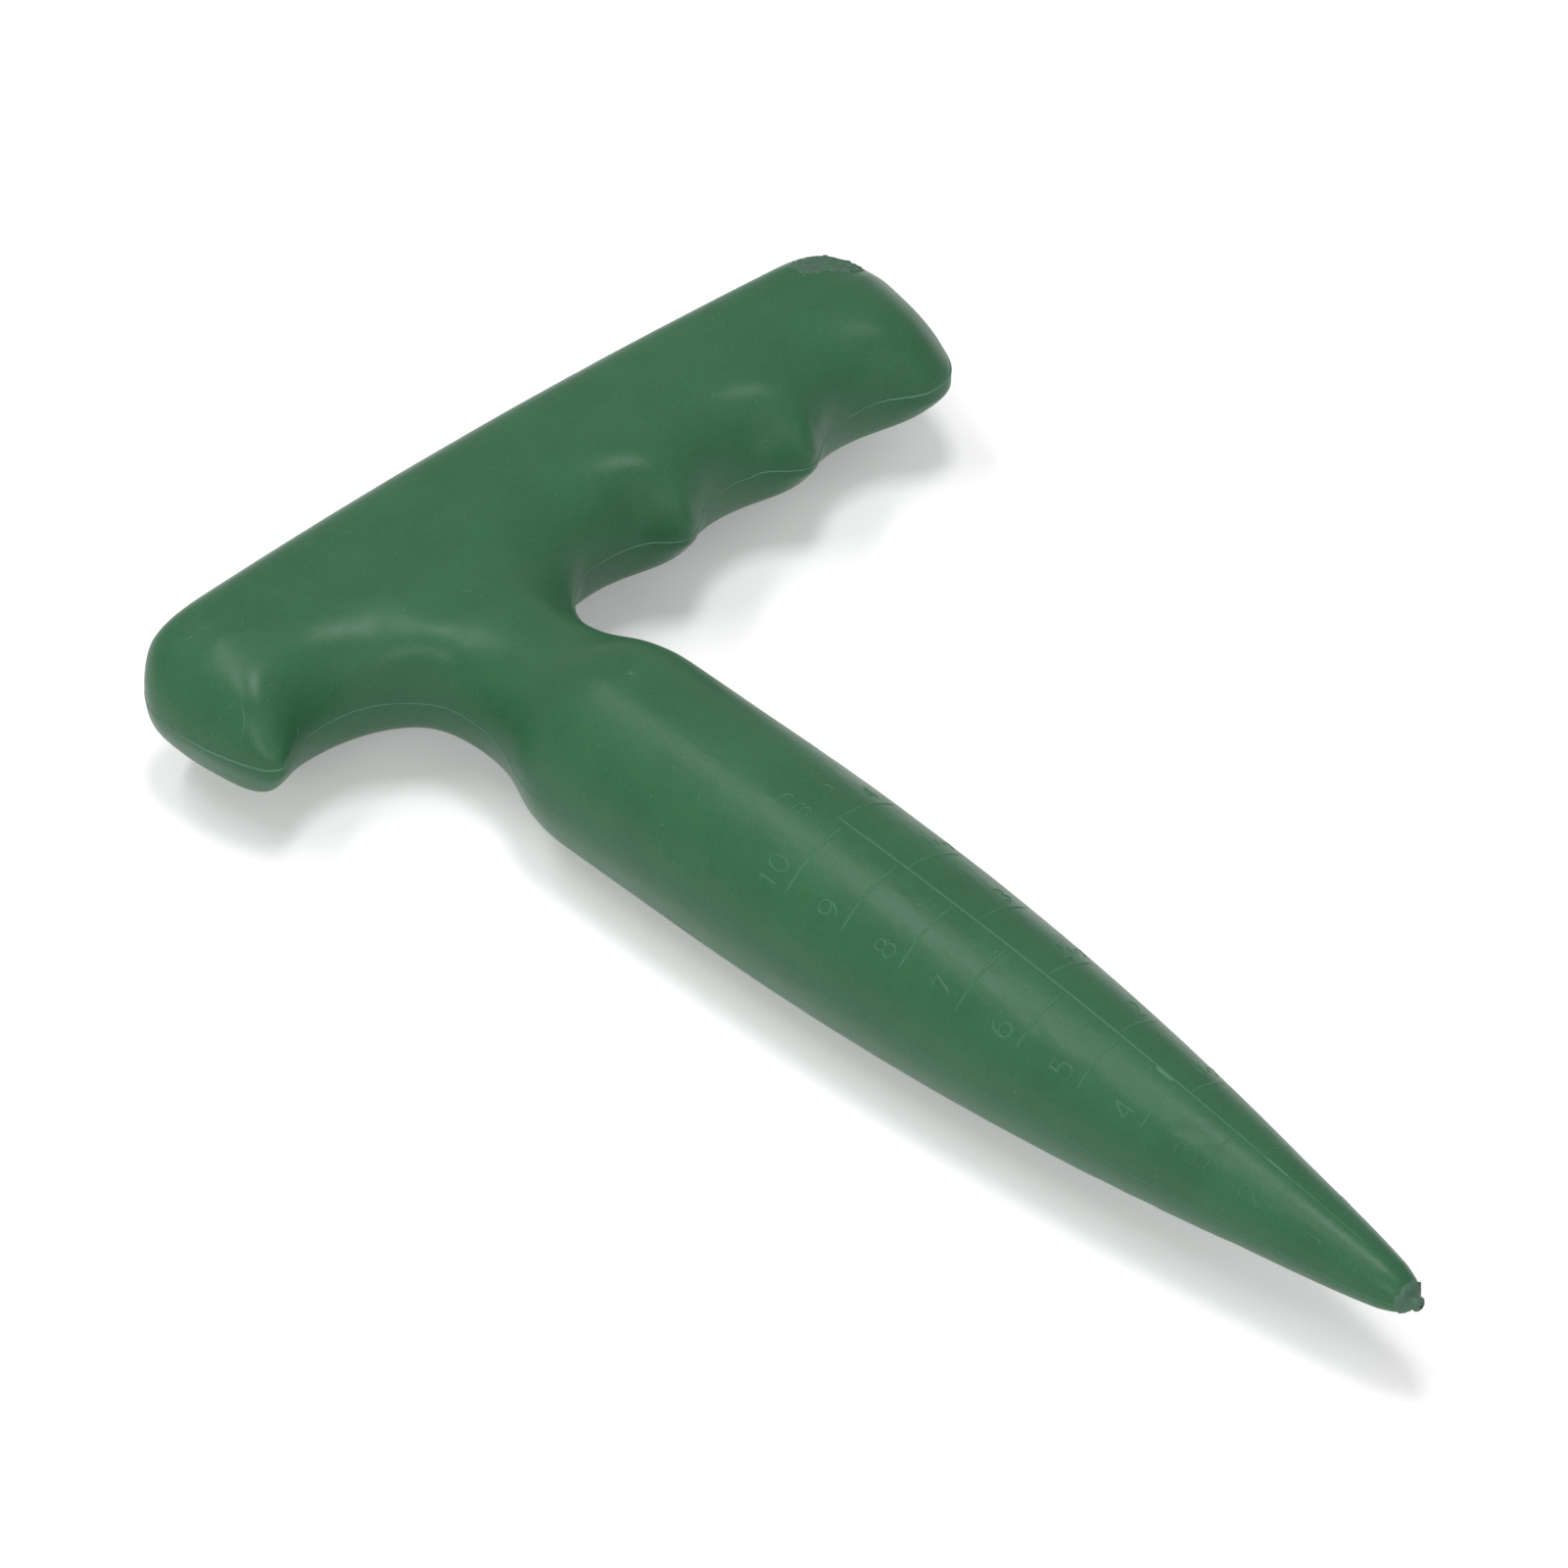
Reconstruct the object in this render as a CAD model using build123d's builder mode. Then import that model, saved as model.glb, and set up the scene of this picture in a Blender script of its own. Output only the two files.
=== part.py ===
from build123d import *
import os
from math import cos, exp, log, pi, sin, sqrt

# A one-handed seedling dibber: a T-shaped grip, a neck and a bullet-shaped spike with a raised depth scale.
# It is one hollow blow moulding, modelled as the two halves that the mould's parting plane divides.
# It lies on its back with the front, which carries the scale, facing up (+Z).
# In the sizes below, x is counted from the spike's axis, y from the spike's tip towards the grip,
# and z from the parting plane.

# Lengths along the spike's axis, in order from the tip to the back of the grip
taper_length = 120.0
shank_length = 22.8
shoulder_length = 17.8
neck_length = 9.7
scallop_depth = 4.8
grip_belly = 15.7
grip_back = 12.2

# Spike, turned about its axis
spike_radius = 14.75
nose_radius = 2.2
nose_rounding = 1.7

# Grip, a bar across the top of the neck: a short arm for the thumb side, a long one for the fingers
thumb_reach = 40.4
finger_reach = 92.3
thumb_end_rounding = 7.7
finger_end_rounding = 8.8
thumb_end_dome = 13.3
finger_end_dome = 14.0
grip_half_depth = 10.8
grip_crown_drop = 3.6
roll_fullness = 0.67
back_fullness = 0.82

# Neck, set back a little from the front of the grip and blended into it
neck_set_back = 0.2
neck_blend = 10.1

# Scallops along the underside of the grip, with ridges between them that fade towards the front
thumb_scallop_x = -24.6
thumb_scallop_radius = 15.6
finger_scallop_x = 25.2
finger_scallop_pitch = 22.55
finger_scallop_radius = 13.3
finger_scallop_count = 3
ridge_softness = 0.45
finger_half_width = 6.0

# Hollow inside, with a solid stretch where the spike's tip is pinched shut
wall = 2.0
end_wall = 3.0
bore_flat = 1.6
solid_tip = 14.0
nub_radius = 0.95
nub_length = 1.7

# Raised depth scale along the front of the spike, with its zero at the tip
mark_height = 0.25
mark_width = 0.7
line_start = 7.0
line_end = 102.2
centimetre_pitch = 10.0
centimetre_count = 10
centimetre_mark_angle = 51.0
inch_mark_pitch = 12.7
inch_mark_count = 8
inch_mark_angle = 42.0

# Levels along the axis
shoulder_start = taper_length + shank_length
neck_start = shoulder_start + shoulder_length
ridge_bottom = neck_start + neck_length
scallop_top = ridge_bottom + scallop_depth
grip_crest = scallop_top + grip_belly
grip_top = grip_crest + grip_back
neck_radius = grip_half_depth - neck_set_back

# The part's origin is under the middle of its box, so the tool's own frame stands off from it
axis_x = (thumb_reach - finger_reach) / 2
tip_y = (nub_length - grip_top) / 2
parting_z = spike_radius
tool = Plane(origin=(axis_x, tip_y, parting_z))
spike_axis = Axis(tool.origin, (0, 1, 0))
parting = Plane.XY.offset(parting_z)
grip_middle = (finger_reach - thumb_reach) / 2
grip_half_length = (finger_reach + thumb_reach) / 2

# The spike's flank is an arc that starts along the straight shank and ends at the nose
flank_drop = spike_radius - nose_radius
flank_radius = (taper_length**2 + flank_drop**2) / (2 * flank_drop)


def flank(y):
    """Radius of the tapered flank at a distance from the tip."""
    return spike_radius - flank_radius + sqrt(flank_radius**2 - (taper_length - y) ** 2)


def underside(x):
    """Lower edge of the grip on the parting plane: scallop arcs over the ridges' level, joined softly."""
    scallops = [(thumb_scallop_x, thumb_scallop_radius)]
    for index in range(finger_scallop_count):
        scallops.append((finger_scallop_x + index * finger_scallop_pitch, finger_scallop_radius))
    levels = [ridge_bottom]
    for centre, radius in scallops:
        reach = abs(x - centre)
        if reach < radius:
            levels.append(scallop_top - radius + sqrt(radius**2 - reach**2))
    highest = max(levels)
    return highest + ridge_softness * log(sum(exp((y - highest) / ridge_softness) for y in levels))


def front_roll(x):
    """Underside averaged over the width of a finger, which the front of the roll follows."""
    half_count = 4
    places = [x + finger_half_width * step / half_count for step in range(-half_count, half_count + 1)]
    return sum(underside(place) for place in places) / len(places)


def rounded(inset, rounding):
    """Share of the full size at an inset from an end with that rounding."""
    return sqrt(1 - (1 - inset / rounding) ** 2) if inset < rounding else 1.0


def grip_places():
    """Places along the grip for its sections: closer together towards the tips of its rounded ends."""
    end_steps = 6
    middle_steps = 36
    first_angle = 0.06
    angles = [first_angle + (pi / 2 - first_angle) * step / end_steps for step in range(end_steps)]
    left = thumb_end_rounding - thumb_reach
    right = finger_reach - finger_end_rounding
    places = [left - thumb_end_rounding * cos(angle) for angle in angles]
    places += [left + (right - left) * step / middle_steps for step in range(middle_steps + 1)]
    places += [right + finger_end_rounding * cos(angle) for angle in reversed(angles)]
    return places


# Front half of the grip, lofted along it through half sections with a full back and a rolled underside
with BuildPart() as front_grip:
    for x in grip_places():
        thumb_inset = x + thumb_reach
        finger_inset = finger_reach - x
        share = rounded(thumb_inset, thumb_end_rounding) * rounded(finger_inset, finger_end_rounding)
        dome = rounded(thumb_inset, thumb_end_dome) * rounded(finger_inset, finger_end_dome)
        crown = grip_crown_drop * ((x - grip_middle) / grip_half_length) ** 2
        low = share * (grip_crest - underside(x))
        rolled = share * (grip_crest - front_roll(x))
        high = share * (grip_back - crown)
        depth = dome * grip_half_depth
        bulge = roll_fullness * depth
        edge = back_fullness * depth
        across = Plane(tool.from_local_coords((x, grip_crest, 0)), x_dir=(0, 1, 0), z_dir=(1, 0, 0))
        with BuildSketch(across):
            with BuildLine():
                Bezier((high, 0), (high, edge), (back_fullness * high, depth), (0, depth))
                Bezier((0, depth), (-roll_fullness * rolled, depth), (-low, bulge), (-low, 0))
                Line((-low, 0), (high, 0))
            make_face()
    loft()

# Spike and neck, turned from one profile: rounded nose, ogive flank, straight shank, shoulder, neck
with BuildPart() as spike:
    with BuildSketch(tool):
        with BuildLine():
            TangentArc((spike_radius, taper_length), (nose_radius, 0), tangent=(0, -1))
            Line((spike_radius, taper_length), (spike_radius, shoulder_start))
            halfway = ((spike_radius + neck_radius) / 2, (shoulder_start + neck_start) / 2)
            shoulder = TangentArc((spike_radius, shoulder_start), halfway, tangent=(0, 1))
            TangentArc(shoulder @ 1, (neck_radius, neck_start), tangent=shoulder % 1)
            Line((neck_radius, neck_start), (neck_radius, grip_crest))
            Polyline((neck_radius, grip_crest), (0, grip_crest), (0, 0), (nose_radius, 0))
        profile = make_face()
        nose_corner = profile.vertices().sort_by(Axis.Y)[:2].sort_by(Axis.X)[-1]
        fillet(nose_corner, radius=nose_rounding)
    revolve(axis=spike_axis)

# Hollow: a rounded bore along the grip, and a tapered bore down the neck and the spike
with BuildPart() as hollow:
    bore_bottom = scallop_top + wall
    bore_top = grip_top - grip_crown_drop - wall
    bore_depth = 2 * (grip_half_depth - wall)
    with Locations(tool.from_local_coords((grip_middle, (bore_bottom + bore_top) / 2, 0))):
        Box(2 * (grip_half_length - end_wall), bore_top - bore_bottom, bore_depth)
    fillet(hollow.edges(), radius=(bore_depth - bore_flat) / 2)
    with BuildSketch(tool):
        with BuildLine():
            taper_middle = (solid_tip + taper_length) / 2
            Polyline(
                (0, solid_tip),
                (flank(solid_tip) - wall, solid_tip),
                (flank(taper_middle) - wall, taper_middle),
                (spike_radius - wall, taper_length),
                (spike_radius - wall, shoulder_start),
                (neck_radius - wall, neck_start),
                (neck_radius - wall, grip_crest),
                (0, grip_crest),
                close=True,
            )
        make_face()
    revolve(axis=spike_axis)

# Front half, which carries the scale: the grip and the spike run into each other through a blend at the neck
with BuildPart() as front_half_shell:
    add(spike.part)
    split(bisect_by=parting, keep=Keep.TOP)
    add(front_grip.part)
    neck_ring = front_half_shell.edges().filter_by(GeomType.BSPLINE).sort_by(Axis.Z)[-1]
    fillet(neck_ring, radius=neck_blend)
    add(hollow.part, mode=Mode.SUBTRACT)

# Rear half, the front's mirror image
with BuildPart() as rear_half_shell:
    mirror(front_half_shell.part, about=parting)

# Torn nub left where the mould pinched the tip shut
with BuildPart() as tip_nub:
    inside_nose = tool.from_local_coords((0, nose_rounding, 0))
    with BuildSketch(Plane(inside_nose, x_dir=(1, 0, 0), z_dir=(0, -1, 0))):
        Circle(nub_radius)
    extrude(amount=nose_rounding + nub_length)
    add(spike.part, mode=Mode.SUBTRACT)

# Raised centre line of the scale, along the crest of the spike
with BuildPart() as scale_centre_line:
    with BuildSketch(Plane(tool.origin, x_dir=(0, 1, 0), z_dir=(1, 0, 0))):
        with BuildLine():
            line_middle = (line_start + line_end) / 2
            crest = ThreePointArc([(y, flank(y) + mark_height) for y in (line_start, line_middle, line_end)])
            under_end = (line_end, flank(line_end) - wall)
            under_start = (line_start, flank(line_start) - wall)
            Polyline(crest @ 1, under_end, under_start, crest @ 0)
        make_face()
    extrude(amount=mark_width / 2, both=True)
    add(spike.part, mode=Mode.SUBTRACT)


def round_marks(pitch, count, angle, direction):
    """Raised marks that run round the spike from its crest, at even distances from the tip."""
    with BuildPart() as marks:
        for index in range(count):
            low = (index + 1) * pitch - mark_width / 2
            high = low + mark_width
            with BuildSketch(Plane(tool.origin, x_dir=(0, 0, 1), z_dir=(-1, 0, 0))):
                with BuildLine():
                    Polyline(
                        (flank(low) - wall, low),
                        (flank(low) + mark_height, low),
                        (flank(high) + mark_height, high),
                        (flank(high) - wall, high),
                        close=True,
                    )
                make_face()
            revolve(axis=Axis(tool.origin, direction), revolution_arc=angle)
        add(spike.part, mode=Mode.SUBTRACT)
        add(scale_centre_line.part, mode=Mode.SUBTRACT)
    return marks.part


# Centimetre marks to the left of the centre line, seen with the grip up, and half-inch marks to the right
centimetre_marks = round_marks(centimetre_pitch, centimetre_count, centimetre_mark_angle, (0, -1, 0))
half_inch_marks = round_marks(inch_mark_pitch, inch_mark_count, inch_mark_angle, (0, 1, 0))

os.makedirs("parts", exist_ok=True)
pieces = {
    "front_half_shell": front_half_shell.part,
    "rear_half_shell": rear_half_shell.part,
    "tip_nub": tip_nub.part,
    "scale_centre_line": scale_centre_line.part,
    "centimetre_marks": centimetre_marks,
    "half_inch_marks": half_inch_marks,
}
for name, piece in pieces.items():
    piece.label = name
    export_step(piece, f"parts/{name}.step")
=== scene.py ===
from math import cos, exp, hypot, pi, radians, sin, sqrt

import bmesh
import bpy
import numpy as np
from mathutils import Matrix, Vector, noise
from mathutils.bvhtree import BVHTree


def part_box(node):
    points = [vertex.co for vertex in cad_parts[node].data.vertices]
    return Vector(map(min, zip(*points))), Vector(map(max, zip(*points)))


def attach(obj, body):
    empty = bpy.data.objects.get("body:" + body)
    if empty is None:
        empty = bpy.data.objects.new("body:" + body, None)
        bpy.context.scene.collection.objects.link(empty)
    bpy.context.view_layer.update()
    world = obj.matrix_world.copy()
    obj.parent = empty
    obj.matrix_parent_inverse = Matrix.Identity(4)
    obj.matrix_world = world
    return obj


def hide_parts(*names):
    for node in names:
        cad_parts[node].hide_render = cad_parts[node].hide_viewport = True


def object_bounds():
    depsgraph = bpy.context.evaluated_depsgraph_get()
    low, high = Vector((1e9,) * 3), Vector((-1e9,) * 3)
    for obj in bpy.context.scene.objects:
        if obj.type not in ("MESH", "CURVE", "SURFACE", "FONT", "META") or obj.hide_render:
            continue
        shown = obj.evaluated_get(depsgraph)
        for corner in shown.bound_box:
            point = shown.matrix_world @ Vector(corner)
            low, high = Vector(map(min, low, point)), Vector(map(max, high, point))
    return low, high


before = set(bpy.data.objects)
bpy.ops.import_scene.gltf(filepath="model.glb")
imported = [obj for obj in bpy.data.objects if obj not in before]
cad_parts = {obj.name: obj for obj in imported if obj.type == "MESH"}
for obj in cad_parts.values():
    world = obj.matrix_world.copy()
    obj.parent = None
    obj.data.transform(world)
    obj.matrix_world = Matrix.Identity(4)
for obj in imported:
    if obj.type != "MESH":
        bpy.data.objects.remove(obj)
cad_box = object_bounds()

# Moulded skin. The real tool is one hollow blow moulding in green polyethylene: grip, neck and spike in one skin.
# The melt sets against the mould's two halves, so its edges are soft and its broad faces stay a little uneven.
# This one skin stands for both half shells of the CAD model.
MM = 0.001
ACROSS, UP, OUT = 0, 1, 2
weld_gap = 0.002 * MM
rim_gap = 0.005 * MM
seam_gap = 0.02 * MM
skin_grid = 0.5 * MM
skin_rounds = 8
nub_low, nub_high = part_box("tip_nub")
tool_origin = Vector(((nub_low.x + nub_high.x) / 2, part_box("front_half_shell")[0].y, (nub_low.z + nub_high.z) / 2))


def place(x, y, z):
    """A point in millimetres from the spike's axis, its tip and the parting plane, as a point of the scene."""
    return tool_origin + Vector((x, y, z)) * MM


def outer_skin(node):
    """The outside of a half shell: its faces without the rim on the parting plane and without the bore."""
    shell = bmesh.new()
    shell.from_mesh(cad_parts[node].data)
    bmesh.ops.remove_doubles(shell, verts=shell.verts, dist=weld_gap)
    on_rim = [all(abs(v.co.z - tool_origin.z) < rim_gap for v in face.verts) for face in shell.faces]
    rim = [face for face, flat in zip(shell.faces, on_rim) if flat]
    bmesh.ops.delete(shell, geom=rim, context="FACES")
    left = set(shell.faces)
    sheets = []
    while left:
        sheet = []
        queue = [left.pop()]
        while queue:
            face = queue.pop()
            sheet.append(face)
            near = {other for edge in face.edges for other in edge.link_faces} & left
            left -= near
            queue.extend(near)
        sheets.append(sheet)
    sheets.sort(key=lambda faces: sum(face.calc_area() for face in faces))
    inside = [face for sheet in sheets[:-1] for face in sheet]
    bmesh.ops.delete(shell, geom=inside, context="FACES")
    mesh = bpy.data.meshes.new(node + "_outside")
    shell.to_mesh(mesh)
    shell.free()
    return mesh


def points_of(mesh, kind="vertices", field="co"):
    """Coordinates or normals of a mesh's vertices as rows of numbers."""
    rows = np.zeros(len(mesh.vertices) * 3, np.float32)
    getattr(mesh, kind).foreach_get(field, rows)
    return rows.reshape(-1, 3).astype(float)


def move_points(mesh, points):
    """Gives the vertices of a mesh new places."""
    mesh.vertices.foreach_set("co", points.astype(np.float32).ravel())
    mesh.update()


def new_piece(name, mesh):
    """Puts a mesh into the scene as a piece of the tool, kept inside the tool's box."""
    move_points(mesh, np.clip(points_of(mesh), np.array(cad_box[0]), np.array(cad_box[1])))
    piece = bpy.data.objects.new(name, mesh)
    bpy.context.scene.collection.objects.link(piece)
    mesh.shade_smooth()
    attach(piece, "root")
    return piece


def pull(points, edges):
    """How far each point of a mesh lies from the mean of its neighbours."""
    count = np.bincount(edges.ravel(), minlength=len(points))
    means = []
    for column in points.T:
        sums = np.bincount(edges[:, 0], column[edges[:, 1]], len(points))
        sums += np.bincount(edges[:, 1], column[edges[:, 0]], len(points))
        means.append(sums / count)
    return np.array(means).T - points


def relax(points, edges, rounds):
    """Evens out the points of a mesh without shrinking it: each round smooths, then swells back."""
    for step in (0.5, -0.52) * rounds:
        points = points + step * pull(points, edges)
    return points


def soften(points, edges, shares, rounds):
    """Rounds off creases of a mesh, as far as each point's share says."""
    edges = edges[np.maximum(shares[edges[:, 0]], shares[edges[:, 1]]) > 0.0]
    inside = np.unique(edges)
    number = np.zeros(len(points), int)
    number[inside] = np.arange(len(inside))
    patch = points[inside]
    for _ in range(rounds):
        patch = patch + 0.5 * shares[inside, None] * pull(patch, number[edges])
    points = points.copy()
    points[inside] = patch
    return points


def fade(values, start, end):
    """0 to 1 from one value to another, with soft ends."""
    share = np.clip((values - start) / (end - start), 0.0, 1.0)
    return share * share * (3.0 - 2.0 * share)


def between(values, start, full_from, full_to, end):
    """1 in a range of values and 0 away from it, with soft ends."""
    return fade(values, start, full_from) * fade(values, end, full_to)


both_halves = bmesh.new()
for node in ("front_half_shell", "rear_half_shell"):
    both_halves.from_mesh(outer_skin(node))
bmesh.ops.remove_doubles(both_halves, verts=both_halves.verts, dist=seam_gap)
bmesh.ops.recalc_face_normals(both_halves, faces=both_halves.faces)
closed_skin = bpy.data.meshes.new("closed_skin")
both_halves.to_mesh(closed_skin)
both_halves.free()
blank = bpy.data.objects.new("blank", closed_skin)
bpy.context.scene.collection.objects.link(blank)
even_grid = blank.modifiers.new("even_grid", "REMESH")
even_grid.mode = "VOXEL"
even_grid.voxel_size = skin_grid
skin_mesh = bpy.data.meshes.new_from_object(blank.evaluated_get(bpy.context.evaluated_depsgraph_get()))
bpy.data.objects.remove(blank)
skin_edges = np.zeros(len(skin_mesh.edges) * 2, np.int32)
skin_mesh.edges.foreach_get("vertices", skin_edges)
skin_edges = skin_edges.reshape(-1, 2)
skin_points = relax(points_of(skin_mesh), skin_edges, skin_rounds)
tool_points = (skin_points - np.array(tool_origin)) / MM

# The neck is squarer than a round bar, most of all at its front and back
neck_power = 2.7
side_share = 0.5
from_axis = np.hypot(tool_points[:, ACROSS], tool_points[:, OUT])
in_neck = between(tool_points[:, UP], 146.0, 157.0, 174.0, 188.0) * fade(from_axis, 17.0, 12.0)
round_share = np.abs(tool_points[:, [ACROSS, OUT]]) / from_axis[:, None]
squared = (round_share**neck_power).sum(1) ** (-1.0 / neck_power) - 1.0
tool_points[:, ACROSS] *= 1.0 + side_share * in_neck * squared
tool_points[:, OUT] *= 1.0 + in_neck * squared

# The grip is a little deeper along a band over the scallops
band_rise = 0.7
on_band = between(tool_points[:, UP], 173.0, 181.0, 184.0, 192.0) * fade(np.abs(tool_points[:, OUT]), 5.5, 8.0)
tool_points[:, OUT] += band_rise * on_band * np.sign(tool_points[:, OUT])

# How much fuller than its solid the rolled underside is: full at the ridges and the lobe, scooped in the scallops.
# Each scallop has a place across the grip and a radius, in mm.
crest_level = 190.8
scallop_level = 175.1
ridge_level = 170.3
grip_depth = 10.8
scallops = ((-24.6, 15.6), (25.2, 13.3), (47.75, 13.3), (70.3, 13.3))
ridge_fullness = 0.24
scoop_fullness = 0.06
lobe_fullness = 0.26


def underside_at(across):
    """The grip's lower edge on the parting plane, in mm from the tip: scallops over the level of the ridges."""
    level = np.full(len(across), ridge_level)
    for centre, radius in scallops:
        offset = np.minimum(np.abs(across - centre), radius)
        level = np.maximum(level, scallop_level - radius + np.sqrt(radius**2 - offset**2))
    return level


across_grip = tool_points[:, ACROSS].copy()
thumb_end = across_grip.min()
finger_end = across_grip.max()
inset = np.minimum(across_grip - thumb_end, finger_end - across_grip)
nearby = (-3.0, -1.5, 0.0, 1.5, 3.0)
ridges = [fade(underside_at(across_grip + step), scallop_level, ridge_level) for step in nearby]
ridge_share = sum(ridges) / len(ridges)
on_front = fade(tool_points[:, OUT], -1.5, 1.5)
fuller = ridge_fullness * ridge_share * fade(inset, 4.0, 14.0) - scoop_fullness * (1.0 - ridge_share)
fuller *= on_front * fade(np.abs(across_grip), 13.0, 24.0) * fade(tool_points[:, UP], 158.0, 167.0)
fuller += lobe_fullness * (1.0 - 0.6 * on_front) * fade(across_grip, -29.0, -37.0) * fade(inset, 0.0, 5.0)
low = crest_level - underside_at(across_grip)
below = np.maximum(crest_level - tool_points[:, UP], 0.0)
way = np.clip(np.arctan2(below / low, np.abs(tool_points[:, OUT]) / grip_depth) * 2.0 / pi, 0.0, 1.0)

# The ends, the neck and the scallops run softly into the rest, before and after the underside is filled out
end_rounds = 70
first_rounds = 160
last_rounds = 80
off_seam = 0.25 + 0.75 * fade(np.abs(tool_points[:, OUT]), 1.0, 4.5)
near_neck = between(tool_points[:, UP], 148.0, 157.0, 184.0, 192.0) * off_seam * fade(np.abs(across_grip), 30.0, 20.0)
near_scallops = between(tool_points[:, UP], 160.0, 168.0, 184.0, 189.0)
near_scallops *= fade(np.abs(tool_points[:, OUT]), 1.0, 5.0) * fade(np.abs(across_grip), 13.0, 20.0)
near_both = np.maximum(near_neck, near_scallops)
near_ends = fade(across_grip, thumb_end + 6.0, thumb_end + 1.5) + fade(across_grip, finger_end - 6.0, finger_end - 1.5)
tool_points = soften(tool_points, skin_edges, near_ends, end_rounds)
tool_points = soften(tool_points, skin_edges, near_both, first_rounds)
tool_points[:, UP] -= 3.0 * (1.0 - way) ** 2 * way * fuller * low
tool_points[:, OUT] += 3.0 * (1.0 - way) * way**2 * fuller * grip_depth * np.sign(tool_points[:, OUT])

# The corner between the neck and the first finger scallop is blunt
corner_across, corner_up = 14.5, 168.5
corner_push = (2.5, 1.6)
corner_rounds = 70
near_corner = fade(np.hypot(across_grip - corner_across, tool_points[:, UP] - corner_up), 12.0, 3.0)
tool_points[:, :OUT] += np.outer(near_corner * fade(tool_points[:, OUT], 8.0, 2.0), corner_push)
tool_points = soften(tool_points, skin_edges, near_corner, corner_rounds)
tool_points = soften(tool_points, skin_edges, near_both, last_rounds)

# Soft dents and swells of the wall, each with a centre, a reach and a push in mm: four by the thumb's scallop,
# and three at each of the first two finger scallops
for centre, spread, push in (
    ((-11.4, 173.7, 8.0), 7.0, (-0.8, -0.7, 1.3)),
    ((-9.4, 171.4, 8.2), 4.2, (-0.3, -0.15, 0.45)),
    ((-13.8, 175.9, 8.2), 4.2, (0.2, 0.2, -0.45)),
    ((-28.5, 179.5, 8.5), 4.5, (0.05, -0.1, 0.25)),
    ((37.0, 171.3, 5.0), 3.6, (-0.2, -0.35, 0.6)),
    ((31.8, 175.2, 5.8), 4.6, (0.3, 0.7, -0.75)),
    ((43.5, 176.5, 7.0), 4.5, (0.1, -0.35, 0.45)),
    ((59.5, 171.3, 5.0), 3.6, (-0.2, -0.35, 0.6)),
    ((54.4, 175.2, 5.8), 4.6, (0.3, 0.7, -0.75)),
    ((66.0, 176.5, 7.0), 4.5, (0.1, -0.35, 0.45)),
):
    gaps = np.linalg.norm(tool_points - np.array(centre), axis=1)
    tool_points = tool_points + np.outer(np.exp(-((gaps / spread) ** 2)), push)

# The spike's end is a little fuller than its solid, and the whole skin has low swells, as (width, height)
tip_fullness = 0.4
swell_sizes = ((17.0 * MM, 0.06 * MM), (5.0 * MM, 0.008 * MM))
tip_swell = tip_fullness * fade(tool_points[:, UP], 26.0, 5.0) * fade(tool_points[:, UP], 0.2, 4.0)
from_axis = np.hypot(tool_points[:, ACROSS], tool_points[:, OUT])
tool_points[:, [ACROSS, OUT]] *= (1.0 + tip_swell / np.maximum(from_axis, 1.0))[:, None]
skin_points = tool_points * MM + np.array(tool_origin)
move_points(skin_mesh, skin_points)
skin_normals = points_of(skin_mesh, "vertex_normals", "vector")
for width, height in swell_sizes:
    swell = np.array([noise.noise(Vector(point) / width) for point in skin_points])
    skin_points -= skin_normals * (height * (0.5 + 0.5 * swell))[:, None]
move_points(skin_mesh, skin_points)
moulded_body = new_piece("moulded_body", skin_mesh)
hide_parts("front_half_shell", "rear_half_shell")
skin_tree = BVHTree.FromPolygons([Vector(p) for p in skin_points], [f.vertices[:] for f in skin_mesh.polygons])


def new_group(name, inputs, outputs):
    """An empty shader node group with its named sockets, and its two end nodes."""
    group = bpy.data.node_groups.new(name, "ShaderNodeTree")
    for label, value in inputs.items():
        socket = group.interface.new_socket(name=label, in_out="INPUT", socket_type="NodeSocketFloat")
        socket.default_value = value
    for label in outputs:
        group.interface.new_socket(name=label, in_out="OUTPUT", socket_type="NodeSocketFloat")
    return group, group.nodes.new("NodeGroupInput"), group.nodes.new("NodeGroupOutput")


def add_node(tree, kind, sockets=None, **settings):
    """A shader node with its settings, whose inputs take a value or the link of another node's output."""
    made = tree.nodes.new(kind)
    for label, value in settings.items():
        setattr(made, label, value)
    for label, value in (sockets or {}).items():
        if isinstance(value, bpy.types.NodeSocket):
            tree.links.new(value, made.inputs[label])
        else:
            made.inputs[label].default_value = value
    return made


def math_node(tree, operation, first, second=0.0):
    """The output of a Math node on two values or links."""
    return add_node(tree, "ShaderNodeMath", {0: first, 1: second}, operation=operation).outputs[0]


def range_node(tree, value, low, high, to_low=0.0, to_high=1.0):
    """The output of a clamped, smooth Map Range node."""
    sockets = {"Value": value, "From Min": low, "From Max": high, "To Min": to_low, "To Max": to_high}
    return add_node(tree, "ShaderNodeMapRange", sockets, interpolation_type="SMOOTHSTEP").outputs["Result"]


# The skin's texture: a fine grain from the blasted mould, and soft clouds where the melt set unevenly
grain_outputs = ("Height", "Cloud", "Grain")
moulded_grain, grain_in, grain_out = new_group("moulded_grain", {"Grain per metre": 2600.0}, grain_outputs)
spot = add_node(moulded_grain, "ShaderNodeTexCoord").outputs["Object"]
fine = add_node(moulded_grain, "ShaderNodeTexNoise",
                {"Vector": spot, "Scale": grain_in.outputs["Grain per metre"], "Detail": 2.0})
moulded_grain.links.new(range_node(moulded_grain, fine.outputs["Fac"], 0.3, 0.7), grain_out.inputs["Grain"])
ripple = add_node(moulded_grain, "ShaderNodeTexNoise", {"Vector": spot, "Scale": 420.0, "Detail": 1.0})
ripple_part = math_node(moulded_grain, "MULTIPLY", ripple.outputs["Fac"], 1.6)
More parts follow.
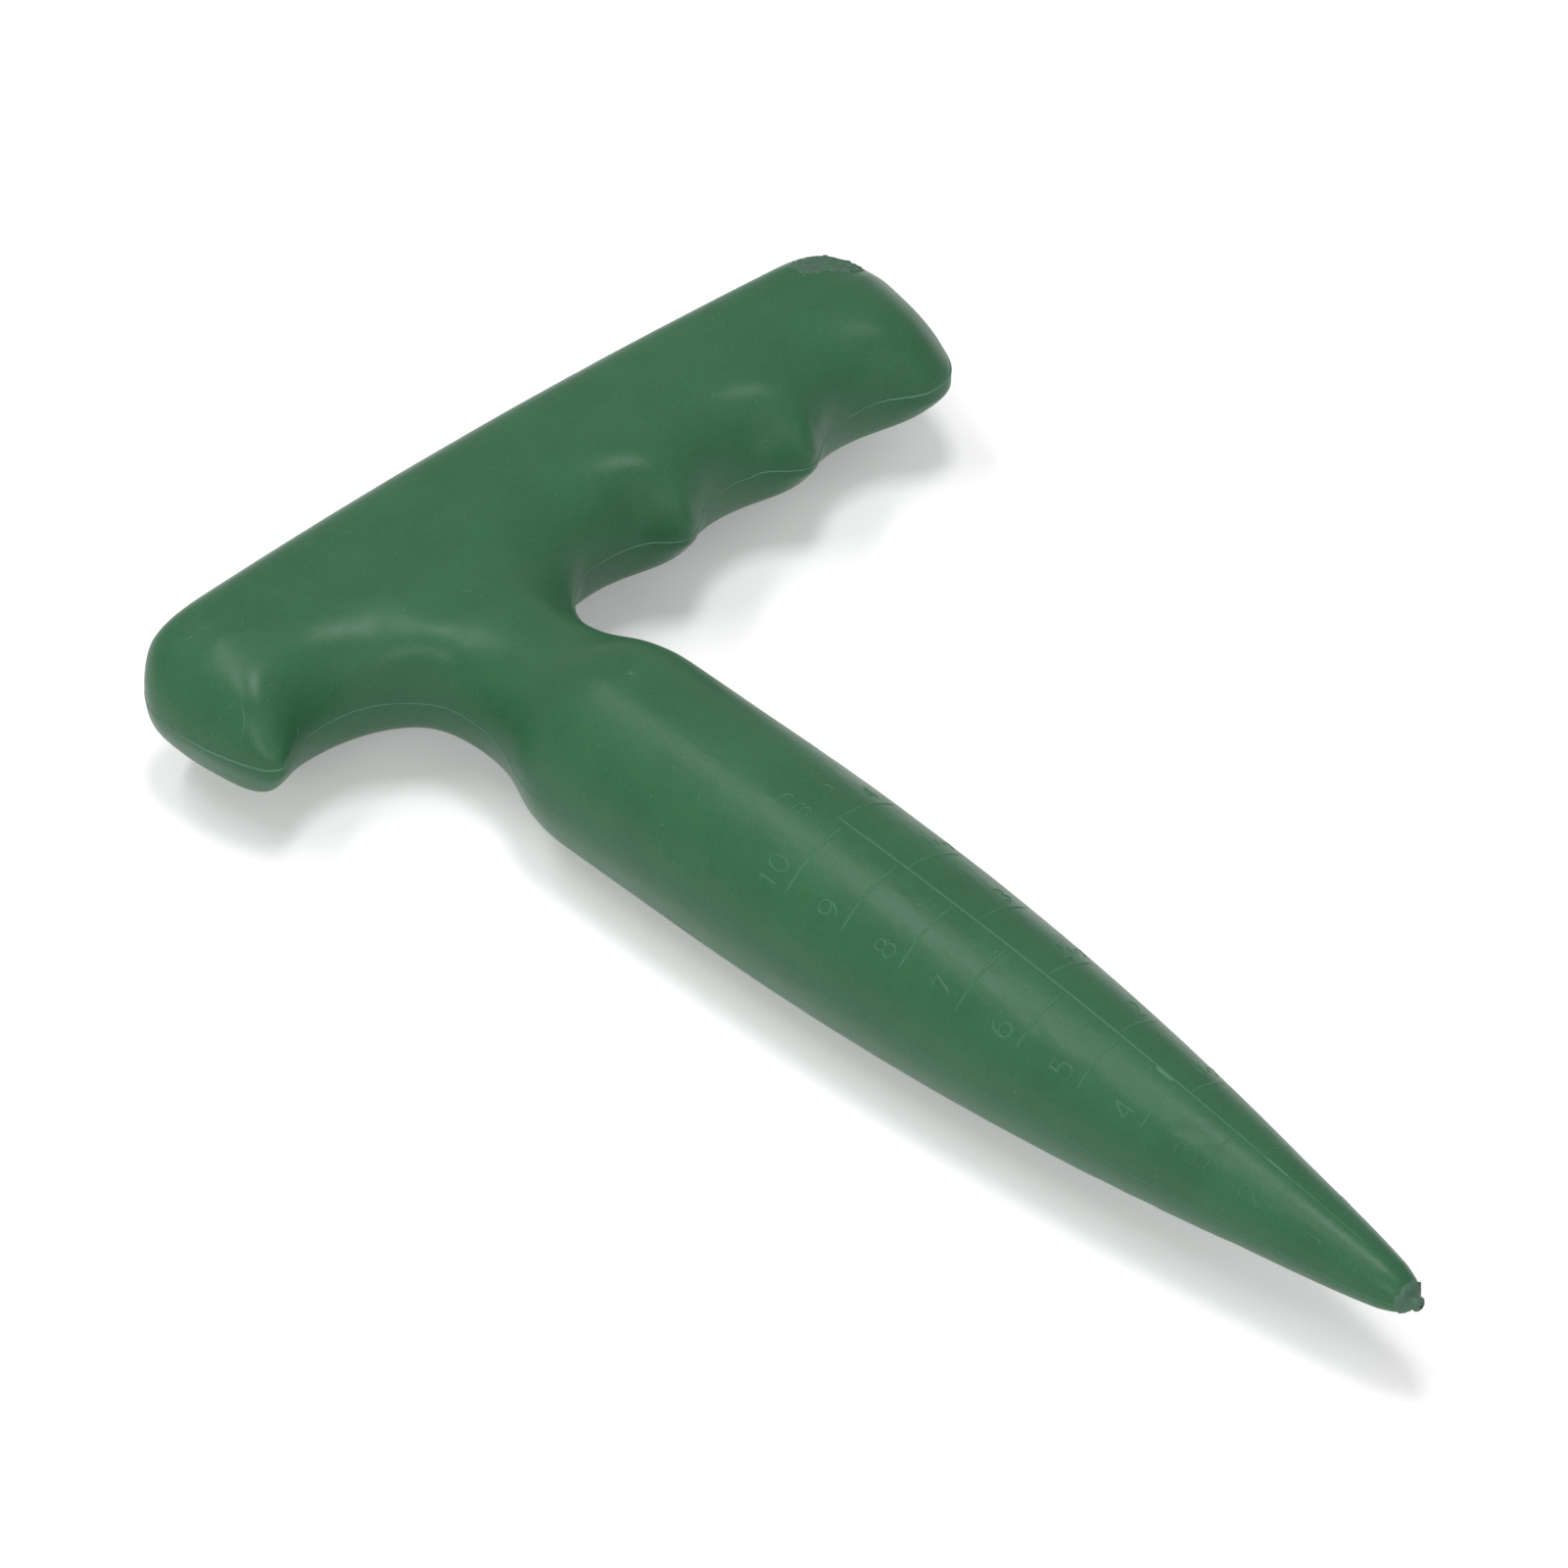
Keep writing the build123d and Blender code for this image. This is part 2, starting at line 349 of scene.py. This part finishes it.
relief = math_node(moulded_grain, "ADD", fine.outputs["Fac"], ripple_part)
moulded_grain.links.new(relief, grain_out.inputs["Height"])
cloud = add_node(moulded_grain, "ShaderNodeTexNoise", {"Vector": spot, "Scale": 95.0, "Detail": 4.0, "Roughness": 0.6})
moulded_grain.links.new(range_node(moulded_grain, cloud.outputs["Fac"], 0.3, 0.7), grain_out.inputs["Cloud"])

# Specks of dust that set into the skin, some fainter than others
specks_per_metre = 760.0
dust_specks, dust_in, dust_out = new_group("dust_specks", {"Specks per metre": specks_per_metre}, ("Specks",))
spot = add_node(dust_specks, "ShaderNodeTexCoord").outputs["Object"]
cells = add_node(dust_specks, "ShaderNodeTexVoronoi", {"Vector": spot, "Scale": dust_in.outputs["Specks per metre"]})
some = add_node(dust_specks, "ShaderNodeSeparateColor", {"Color": cells.outputs["Color"]})
speck = range_node(dust_specks, cells.outputs["Distance"], 0.04, 0.13, 1.0, 0.0)
chosen = range_node(dust_specks, some.outputs["Red"], 0.35, 1.0)
dust_specks.links.new(math_node(dust_specks, "MULTIPLY", speck, chosen), dust_out.inputs["Specks"])
melt_range = (0.85, 1.06)
speck_strength = 0.65
grain_strength = 0.35
plastic_gloss = 0.21


def green_plastic(name, colour, pale, roughness, grain_depth, specks=specks_per_metre):
    """Satin polyethylene in one green, paler where dust shows."""
    material = bpy.data.materials.new(name)
    material.use_nodes = True
    tree = material.node_tree
    shader = tree.nodes["Principled BSDF"]
    grain = add_node(tree, "ShaderNodeGroup", node_tree=moulded_grain)
    dust = add_node(tree, "ShaderNodeGroup", node_tree=dust_specks)
    dust.inputs["Specks per metre"].default_value = specks
    mottled = math_node(tree, "ADD", grain.outputs["Cloud"], grain.outputs["Grain"])
    melt = add_node(tree, "ShaderNodeMix", {"Factor": math_node(tree, "MULTIPLY", mottled, 0.5)}, data_type="RGBA")
    for socket, share in zip(("A", "B"), melt_range):
        melt.inputs[socket].default_value = (*[channel * share for channel in colour], 1.0)
    dusty = math_node(tree, "MULTIPLY", dust.outputs["Specks"], speck_strength)
    worn = add_node(tree, "ShaderNodeMix", {"Factor": dusty}, data_type="RGBA")
    tree.links.new(melt.outputs["Result"], worn.inputs["A"])
    worn.inputs["B"].default_value = (*pale, 1.0)
    tree.links.new(worn.outputs["Result"], shader.inputs["Base Color"])
    dull = range_node(tree, grain.outputs["Cloud"], 0.0, 1.0, roughness - 0.03, roughness + 0.04)
    tree.links.new(math_node(tree, "ADD", dull, math_node(tree, "MULTIPLY", dusty, 0.2)), shader.inputs["Roughness"])
    bump = add_node(tree, "ShaderNodeBump", {"Height": grain.outputs["Height"], "Strength": grain_strength})
    bump.inputs["Distance"].default_value = grain_depth
    tree.links.new(bump.outputs["Normal"], shader.inputs["Normal"])
    shader.inputs["Specular IOR Level"].default_value = plastic_gloss
    return material


skin_green = (0.0366, 0.1325, 0.0622)
scuffed_green = (0.10, 0.24, 0.145)
skin_plastic = green_plastic("green_polyethylene", skin_green, scuffed_green, 0.35, 0.02 * MM)
moulded_body.data.materials.append(skin_plastic)

# Depth scale: a centre line with centimetre marks on one side and half-inch marks on the other, all raised from the
# skin by grooves in the mould. They are soft ridges in the same plastic, shallower where the groove didn't fill. Their
# paler green is painted highlight, for the light the raised strokes catch.
ridge_steps = 7
ridge_root = 0.25 * MM
patch_size = 6.0 * MM
centimetre = 10.0
half_inch = 12.7
mark_half_width = 0.26 * MM
mark_rise = 0.14 * MM


def soft_ridges(name, strokes, half_width, height, bare=0.0, closed=False):
    """Rounded ridges of plastic along strokes, lists of (point, normal, share of the full size), rooted in the skin."""
    verts = []
    faces = []
    for stroke in strokes:
        points = [point for point, _, _ in stroke]
        count = len(points)
        first = len(verts)
        for index, (point, up, size) in enumerate(stroke):
            before = points[(index - 1) % count if closed else max(index - 1, 0)]
            after = points[(index + 1) % count if closed else min(index + 1, count - 1)]
            along = (after - before).normalized()
            across = along.cross(up).normalized()
            from_end = 1.0 if closed else min(index, count - 1 - index) / max(1, min(4, count // 3))
            share = size * sqrt(min(1.0, from_end + 0.04))
            patchy = 1.0 - bare * (0.5 + 0.5 * noise.noise(point / patch_size))
            for step in range(ridge_steps):
                side = 2.0 * step / (ridge_steps - 1) - 1.0
                rise = share * patchy * height * cos(side * pi / 2) - 0.03 * MM * abs(side)
                verts.append(point + across * (side * half_width * share) + up * rise)
            verts.append(point - up * ridge_root)
        ring = ridge_steps + 1
        last = count if closed else count - 1
        for index in range(last):
            for step in range(ring):
                here = first + index * ring
                there = first + (index + 1) % count * ring
                turn = (step + 1) % ring
                faces.append((here + step, here + turn, there + turn, there + step))
        if not closed:
            faces.append(tuple(first + step for step in reversed(range(ring))))
            faces.append(tuple(first + (count - 1) * ring + step for step in range(ring)))
    mesh = bpy.data.meshes.new(name)
    mesh.from_pydata(verts, [], faces)
    return new_piece(name, mesh)


def on_spike(angle, y):
    """A point on the spike's skin, its normal and the size of a mark there, which shrinks towards the tip.
    The angle is in degrees from the crest towards +X, and the height in mm from the tip."""
    out = Vector((sin(radians(angle)), 0.0, cos(radians(angle))))
    hit, normal, _, _ = skin_tree.ray_cast(place(0.0, y, 0.0) + out * 0.03, -out)
    return hit, normal, float(0.45 + 0.55 * fade(y, 8.0, 60.0))


line_from, line_to = ((corner.y - tool_origin.y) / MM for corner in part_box("scale_centre_line"))
line_points = [on_spike(0.0, y) for y in np.linspace(line_from, line_to, 190)]
centre_line = soft_ridges("raised_centre_line", [line_points], mark_half_width, mark_rise, bare=0.35)
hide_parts("scale_centre_line")
centimetre_angles = np.linspace(-1.0, -51.0, 34)
centimetre_strokes = [[on_spike(angle, centimetre * count) for angle in centimetre_angles] for count in range(1, 11)]
centimetre_ridges = soft_ridges("raised_centimetre_marks", centimetre_strokes, mark_half_width, mark_rise, bare=0.6)
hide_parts("centimetre_marks")
half_inch_angles = np.linspace(1.0, 42.0, 28)
half_inch_strokes = [[on_spike(angle, half_inch * count) for angle in half_inch_angles] for count in range(1, 9)]
half_inch_ridges = soft_ridges("raised_half_inch_marks", half_inch_strokes, mark_half_width, mark_rise, bare=0.5)
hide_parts("half_inch_marks")
# A paler green than the skin's, as painted highlight on the raised marks and numerals
mark_highlight_green = (0.050, 0.162, 0.082)
mark_highlight_plastic = green_plastic("painted_highlight_polyethylene", mark_highlight_green, scuffed_green, 0.4, 0.02 * MM)
for ridges in (centre_line, centimetre_ridges, half_inch_ridges):
    ridges.data.materials.append(mark_highlight_plastic)

# Numerals of the scale, raised with it: plain round-stroked figures over each mark, upright with the grip up, and the
# two units beside the top of the centre line. They are cut into the mould with a ball-nosed tool, so every stroke has
# the same rounded section.
stroke_step = 0.14
figure_advance = 0.82


def bow(x, y, across, up, start, end):
    """Points along an arc of an ellipse, with angles in degrees."""
    turns = np.linspace(radians(start), radians(end), 22)
    return [(x + across * cos(turn), y + up * sin(turn)) for turn in turns]


figures = {
    "0": [bow(0.3, 0.5, 0.3, 0.5, 90, 450)],
    "1": [[(0.12, 0.78), (0.32, 1.0), (0.32, 0.0)]],
    "2": [bow(0.3, 0.72, 0.28, 0.28, 170, -25) + [(0.03, 0.0), (0.6, 0.0)]],
    "3": [bow(0.28, 0.76, 0.26, 0.24, 160, -80) + bow(0.28, 0.27, 0.3, 0.27, 80, -155)],
    "4": [[(0.45, 0.0), (0.45, 1.0), (0.0, 0.3), (0.62, 0.3)]],
    "5": [[(0.56, 1.0), (0.12, 1.0), (0.06, 0.52)] + bow(0.28, 0.32, 0.3, 0.32, 125, -140)],
    "6": [bow(0.55, 0.42, 0.55, 0.58, 100, 178) + bow(0.3, 0.3, 0.3, 0.3, 180, 540)],
    "7": [[(0.0, 1.0), (0.6, 1.0), (0.22, 0.0)]],
    "8": [bow(0.3, 0.76, 0.24, 0.24, -90, 270), bow(0.3, 0.27, 0.3, 0.27, 90, 450)],
    "9": [bow(0.05, 0.58, 0.55, 0.58, -80, -2) + bow(0.3, 0.7, 0.3, 0.3, 0, 360)],
    "/": [[(0.05, 0.0), (0.5, 1.0)]],
    "c": [bow(0.3, 0.3, 0.28, 0.3, 50, 310)],
    "m": [[(0.0, 0.0), (0.0, 0.6)], bow(0.16, 0.44, 0.16, 0.16, 180, 0) + [(0.32, 0.0)],
          bow(0.48, 0.44, 0.16, 0.16, 180, 0) + [(0.64, 0.0)]],
    "i": [[(0.3, 0.0), (0.3, 0.6)], [(0.3, 0.8), (0.3, 0.92)]],
    "n": [[(0.05, 0.0), (0.05, 0.6)], bow(0.3, 0.38, 0.25, 0.22, 180, 0) + [(0.55, 0.0)]],
}


def even_steps(path, step):
    """A path of (x, y) points with points at even steps along it."""
    path = np.array(path)
    runs = np.hypot(*np.diff(path, axis=0).T)
    ways = np.concatenate([[0.0], np.cumsum(runs)])
    stops = np.linspace(0.0, ways[-1], max(6, int(ways[-1] / step)))
    return np.column_stack([np.interp(stops, ways, path[:, axis]) for axis in range(2)])


def written(text, tall, angle, y, towards_tip=False):
    """Strokes of a text on the spike's skin, centred at an angle and a height in mm, across the spike or along it."""
    advance = figure_advance * tall
    strokes = []
    for place_in_text, figure in enumerate(text):
        left = (place_in_text - (len(text) - 1) / 2) * advance - 0.3 * tall
        for path in figures[figure]:
            scaled = [(left + across * tall, (up - 0.5) * tall) for across, up in path]
            stroke = []
            for across, up in even_steps(scaled, stroke_step):
                if towards_tip:
                    across, up = up, -across
                radius = hypot(*(on_spike(angle, y + up)[0] - place(0.0, y + up, 0.0)).xz) / MM
                stroke.append(on_spike(angle + across / radius * 180.0 / pi, y + up))
            strokes.append(stroke)
    return strokes


number_strokes = []
for count in range(1, 11):
    number_strokes += written(str(count), 3.1, -44.0, centimetre * count + 3.2)
for count in range(1, 9):
    whole = str(count // 2) if count > 1 else ""
    level = half_inch * count + 2.8
    if count % 2 == 0:
        number_strokes += written(whole, 2.8, 33.0, level)
    else:
        if whole:
            number_strokes += written(whole, 2.8, 26.0, level)
        number_strokes += written("1/2", 1.6, 40.0, level)
number_strokes += written("cm", 3.4, -7.0, 107.5, towards_tip=True)
number_strokes += written("in", 3.4, 13.0, 108.5, towards_tip=True)
numerals = soft_ridges("raised_numerals", number_strokes, 0.22 * MM, 0.13 * MM, bare=0.4)
# The numerals' paler green is painted highlight too
numerals.data.materials.append(mark_highlight_plastic)

# Parting line: a thin uneven fin of flash where the mould's halves met, all round the tool. The melt crept into the
# gap and was scraped back, so it is wavy and nearly gone in places. Its paler green is painted highlight, for the light
# the thin fin catches.
flash_step = 0.3 * MM
flash_drift = 1.1
cut_skin = bmesh.new()
cut_skin.from_mesh(skin_mesh)
cut = bmesh.ops.bisect_plane(cut_skin, geom=cut_skin.verts[:] + cut_skin.edges[:] + cut_skin.faces[:],
                             plane_co=tool_origin, plane_no=(0.0, 0.0, 1.0))
cut_edges = [part for part in cut["geom_cut"] if isinstance(part, bmesh.types.BMEdge)]
next_to = {}
for edge in cut_edges:
    for vert in edge.verts:
        next_to.setdefault(vert, []).append(edge.other_vert(vert))
walk = [cut_edges[0].verts[0]]
previous = None
while True:
    onward = [vert for vert in next_to[walk[-1]] if vert is not previous]
    if not onward or onward[0] is walk[0]:
        break
    previous = walk[-1]
    walk.append(onward[0])
outline = even_steps([(vert.co.x, vert.co.y) for vert in walk + walk[:1]], flash_step)[:-1]
cut_skin.free()
flash_stroke = []
for x, y in outline:
    along = (x - tool_origin.x) / MM
    up = (y - tool_origin.y) / MM
    wander = 0.12 * noise.noise(Vector((along, up, 0.0)) / 4.0) + 0.12 * noise.noise(Vector((along, up, 3.0)) / 1.1)
    wander += flash_drift * fade(along, 70.0, 86.0) * fade(up, 194.0, 186.0)
    point, normal, _, _ = skin_tree.find_nearest(Vector((x, y, tool_origin.z + wander * MM)))
    at_ends = max(fade(along, -27.0, -34.0), fade(along, 72.0, 80.0)) * fade(up, 190.0, 182.0)
    flash_stroke.append((point, normal, float(0.35 + 0.4 * fade(up, 135.0, 170.0) + 0.5 * at_ends)))
flash = soft_ridges("parting_flash", [flash_stroke], 0.16 * MM, 0.2 * MM, bare=0.8, closed=True)
# Paler green: worn plastic on the scuffs and smears, and painted highlight on the parting flash
torn_and_highlight_green = (0.085, 0.215, 0.125)
torn_and_highlight_plastic = green_plastic("torn_and_highlight_polyethylene", torn_and_highlight_green, scuffed_green, 0.5, 0.05 * MM)
flash.data.materials.append(torn_and_highlight_plastic)

# Torn tip: where the mould pinched the parison shut, a nub and a ragged collar are left when the waste is twisted off.
# It is the skin's own plastic, stretched pale and rough, with a spur on one side. Each ring of it has a radius and a
# height in mm.
nub_sides = 48
nub_end = -1.68
spur_turn = 0.66
nub_profile = (
    (2.02, 1.50), (2.22, 1.15), (2.20, 0.75), (2.16, 0.40), (1.86, 0.10), (1.50, -0.12), (1.12, -0.22), (0.92, -0.45),
    (0.94, -0.75), (1.00, -1.05), (0.92, -1.32), (0.68, -1.56), (0.30, nub_end),
)
nub_verts = []
nub_faces = []
for radius, y in nub_profile:
    for side in range(nub_sides):
        turn = 2 * pi * side / nub_sides
        smooth = Vector((radius * cos(turn), y, radius * sin(turn)))
        ragged = 1.0 + 0.1 * noise.noise(smooth * 1.4 + Vector((7.0, 3.0, 1.0))) + 0.08 * noise.noise(smooth * 4.0)
        ragged += 0.2 * exp(-(((turn - spur_turn) / 0.13) ** 2) - ((y - 0.1) / 0.3) ** 2)
        level = max(y + 0.1 * noise.noise(smooth * 2.0), nub_end)
        nub_verts.append(place(smooth.x * ragged, level, smooth.z * ragged))
for ring in range(len(nub_profile) - 1):
    for side in range(nub_sides):
        turn = (side + 1) % nub_sides
        here = ring * nub_sides
        there = here + nub_sides
        nub_faces.append((here + side, here + turn, there + turn, there + side))
nub_faces.append(tuple(range(nub_sides)))
nub_faces.append(tuple(reversed(range((len(nub_profile) - 1) * nub_sides, len(nub_profile) * nub_sides))))
nub_mesh = bpy.data.meshes.new("torn_tip")
nub_mesh.from_pydata(nub_verts, [], nub_faces)
torn_tip = new_piece("torn_tip", nub_mesh)
cut_green = (0.078, 0.158, 0.104)
cut_pale = (0.3, 0.4, 0.34)
cut_plastic = green_plastic("cut_polyethylene", cut_green, cut_pale, 0.55, 0.3 * MM, specks=1500.0)
torn_tip.data.materials.append(cut_plastic)
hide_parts("tip_nub")

# Trimmed corner: at the far back corner of the grip the waste of the moulding was cut off by hand. It left a patch of
# torn, lumpy plastic with pale ridges that run along the cut.
scar_middle = place(83.2, 193.2, 9.4)
scar_out = Vector((0.35, 0.32, 0.88)).normalized()
scar_along = Vector((0.88, -0.41, -0.2)).normalized()
scar_across = scar_out.cross(scar_along)
scar_length = 6.2
scar_width = 3.2
scar_step = 0.14
scar_rise = 0.42
scar_root = 0.06
scar_rows = int(2 * scar_width / scar_step) + 1
scar_columns = int(2 * scar_length / scar_step) + 1
scar_verts = []
scar_faces = []
scar_shares = []
for row in range(scar_rows):
    for column in range(scar_columns):
        along = column * scar_step - scar_length
        across = row * scar_step - scar_width
        start = scar_middle + (scar_along * along + scar_across * across) * MM + scar_out * 0.03
        hit, normal, _, _ = skin_tree.ray_cast(start, -scar_out)
        edge = 1.0 - hypot(along / scar_length, across / scar_width)
        edge += 0.35 * noise.noise(Vector((along / 1.6, across / 1.1, 5.0)))
        edge += 0.3 * noise.noise(Vector((along, across, 8.0)) / 0.5)
        share = float(fade(edge, 0.05, 0.3))
        lumps = 1.0 - abs(noise.noise(Vector((along / 2.2, across / 0.55, 9.0))))
        lumps = 0.55 * lumps**3 + 0.45 * (0.5 + 0.5 * noise.noise(Vector((along / 0.6, across / 0.35, 2.0))))
        scar_verts.append(hit + normal * MM * (share * (scar_rise * lumps - scar_root) - (1.0 - share) * scar_root))
        scar_shares.append(share)
for row in range(scar_rows - 1):
    for column in range(scar_columns - 1):
        corner = row * scar_columns + column
        square = (corner, corner + 1, corner + scar_columns + 1, corner + scar_columns)
        if max(scar_shares[index] for index in square) > 0.0:
            scar_faces.append(square)
scar_mesh = bpy.data.meshes.new("trimmed_corner")
scar_mesh.from_pydata(scar_verts, [], scar_faces)
scar_patch = bmesh.new()
scar_patch.from_mesh(scar_mesh)
loose = [vert for vert in scar_patch.verts if not vert.link_faces]
bmesh.ops.delete(scar_patch, geom=loose, context="VERTS")
bmesh.ops.solidify(scar_patch, geom=scar_patch.faces[:], thickness=0.3 * MM)
scar_patch.to_mesh(scar_mesh)
scar_patch.free()
trimmed_corner = new_piece("trimmed_corner", scar_mesh)
trimmed_corner.data.materials.append(cut_plastic)

# Scuffs: nicks and short scrapes from use, raised as thin pale burrs of the same plastic. They lie on the thumb's arm,
# on the neck and on the scale's centre line, where the tool rubs against others in a box.
burr_steps = 14


def burr(*corners):
    """A stroke on the skin that passes near some corners, in mm, thin at its ends."""
    path = [place(*corner) for corner in corners]
    stroke = []
    for start, end in zip(path, path[1:]):
        for share in np.linspace(0.0, 1.0, burr_steps)[: None if end is path[-1] else -1]:
            point, normal, _, _ = skin_tree.find_nearest(start.lerp(end, share))
            stroke.append((point, normal, 0.7 + 0.5 * noise.noise(point / (0.9 * MM))))
    return stroke


burrs = [
    burr((-34.2, 192.6, 10.2), (-33.0, 192.2, 10.6)),
    burr((-36.9, 180.7, 6.4), (-36.0, 180.1, 7.4)),
    burr((-34.7, 180.3, 8.6), (-36.2, 177.8, 5.9), (-37.3, 177.2, 1.9)),
    burr((-29.4, 174.7, 2.9), (-30.3, 174.2, 1.7)),
    burr((-20.3, 198.2, 9.1), (-21.7, 196.6, 9.8)),
    burr((-1.7, 173.7, 10.5), (-0.4, 172.5, 10.6)),
    burr((-0.8, 141.9, 14.7), (0.7, 140.8, 14.7)),
    burr((-0.3, 140.6, 14.7), (0.3, 142.2, 14.7)),
]
scuffs = soft_ridges("scuffs", burrs, 0.11 * MM, 0.07 * MM)
smears = [[on_spike(offset, y) for y in np.linspace(high, low, 24)]
          for offset, high, low in ((-2.0, 43.9, 40.8), (0.0, 25.2, 20.7))]
line_smears = soft_ridges("line_smears", smears, 0.3 * MM, 0.14 * MM)
for worn_spots in (scuffs, line_smears):
    worn_spots.data.materials.append(torn_and_highlight_plastic)

# Floor and light: a plain pale floor, a white surround and broad soft lamps, as for a studio picture of the tool.
# The floor shines a little of its own where it is seen, so that it turns white and keeps the tool's shadow.
floor_reach = 3.0
floor_shine = 0.25
floor_mesh = bpy.data.meshes.new("floor")
floor_corners = [(x * floor_reach, y * floor_reach, 0.0) for x, y in ((-1, -1), (1, -1), (1, 1), (-1, 1))]
floor_mesh.from_pydata(floor_corners, [], [(0, 1, 2, 3)])
floor = bpy.data.objects.new("floor", floor_mesh)
bpy.context.scene.collection.objects.link(floor)
floor_paint = bpy.data.materials.new("pale_floor")
floor_paint.use_nodes = True
floor_tree = floor_paint.node_tree
floor_shader = floor_tree.nodes["Principled BSDF"]
floor_shader.inputs["Base Color"].default_value = (0.86, 0.86, 0.86, 1.0)
floor_shader.inputs["Roughness"].default_value = 0.9
floor_shader.inputs["Specular IOR Level"].default_value = 0.0
floor_shader.inputs["Emission Color"].default_value = (1.0, 1.0, 1.0, 1.0)
seen = add_node(floor_tree, "ShaderNodeLightPath")
shown = math_node(floor_tree, "MAXIMUM", seen.outputs["Is Camera Ray"], seen.outputs["Is Glossy Ray"])
shown = math_node(floor_tree, "MAXIMUM", shown, seen.outputs["Is Transmission Ray"])
floor_tree.links.new(math_node(floor_tree, "MULTIPLY", shown, floor_shine), floor_shader.inputs["Emission Strength"])
floor_mesh.materials.append(floor_paint)

world = bpy.data.worlds.new("studio")
bpy.context.scene.world = world
world.use_nodes = True
surround = world.node_tree.nodes["Background"]
surround.inputs["Color"].default_value = (1.0, 1.0, 1.0, 1.0)
surround.inputs["Strength"].default_value = 0.4

lamp_distance = 1.1
lit_place = place(10.0, 120.0, 0.0)
for name, towards, along, length, width, power in (
    ("left_strip", (-0.22, 0.38, 0.9), (0.49, 0.33, -0.07), 0.8, 0.12, 3.6),
    ("top_lamp", (0.02, 0.0, 1.0), (0.3, 0.38, 0.0), 0.4, 0.22, 4.0),
    ("near_lamp", (-0.8, -0.32, 0.5), (0.0, 1.0, 0.0), 0.36, 0.32, 1.9),
    ("front_fill", (-0.4, -0.78, 0.48), (1.0, 0.0, 0.0), 0.9, 0.9, 2.0),
):
    lamp = bpy.data.objects.new(name, bpy.data.lights.new(name, "AREA"))
    lamp.data.shape = "RECTANGLE"
    lamp.data.size = length
    lamp.data.size_y = width
    lamp.data.energy = power
    back = Vector(towards).normalized()
    side = (Vector(along) - back * back.dot(Vector(along))).normalized()
    turned = Matrix((side, back.cross(side), back)).transposed().to_4x4()
    lamp.matrix_world = Matrix.Translation(lit_place + back * lamp_distance) @ turned
    bpy.context.scene.collection.objects.link(lamp)

# Camera: from the tip's end, low on the left, with a long lens, as the picture was taken.
# Its focal length is in pixels of a square picture that is so many pixels wide.
picture_width = 1601
focal_pixels = 8008.0
camera_place = place(-509.6, -459.4, 668.9)
looking = Vector((0.5057, 0.567, -0.6502)).normalized()
camera_right = looking.cross(Vector((0.4529, 0.467, 0.7595))).normalized()
camera_up = camera_right.cross(looking)
camera_turn = Matrix((camera_right, camera_up, -looking)).transposed().to_4x4()
camera_data = bpy.data.cameras.new("camera")
camera_data.sensor_width = 36.0
camera_data.lens = camera_data.sensor_width * focal_pixels / picture_width
camera_data.clip_end = 20.0
camera = bpy.data.objects.new("camera", camera_data)
camera.matrix_world = Matrix.Translation(camera_place) @ camera_turn
bpy.context.scene.collection.objects.link(camera)
bpy.context.scene.camera = camera
bpy.context.scene.view_settings.view_transform = "Standard"
